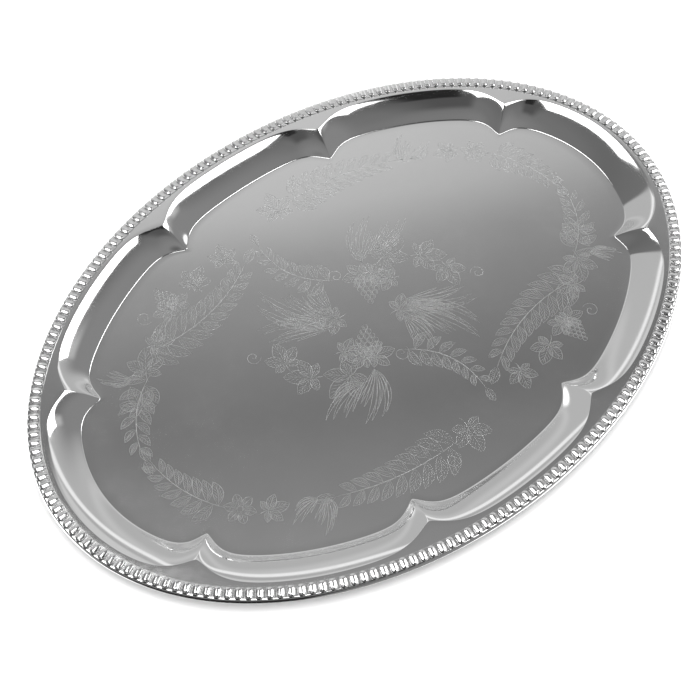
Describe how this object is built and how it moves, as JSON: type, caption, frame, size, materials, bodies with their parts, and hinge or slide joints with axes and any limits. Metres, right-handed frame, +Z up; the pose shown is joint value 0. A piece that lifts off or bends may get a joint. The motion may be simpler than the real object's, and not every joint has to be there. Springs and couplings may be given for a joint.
{
  "type": "serving tray",
  "caption": "Shallow oval metal serving tray with a lobed well, a flat engraved floor, a smooth flange and a gadrooned rim.",
  "frame": {"origin": "on the surface that the tray rests on, under the middle of its floor", "axes": "+X along the tray's length, +Y across it, +Z up out of the well"},
  "size_m": [0.41, 0.29, 0.0117],
  "materials": {
    "plated_pan": "mirror-bright plating, with a frosted engraved ornament on the floor",
    "plated_border": "bright plating",
    "rim_wire": "drawn"
  },
  "bodies": {
    "root": {"tray_pan": "plated_pan", "gadroon_border": "plated_border", "rim_wire": "rim_wire"}
  },
  "joints": []
}
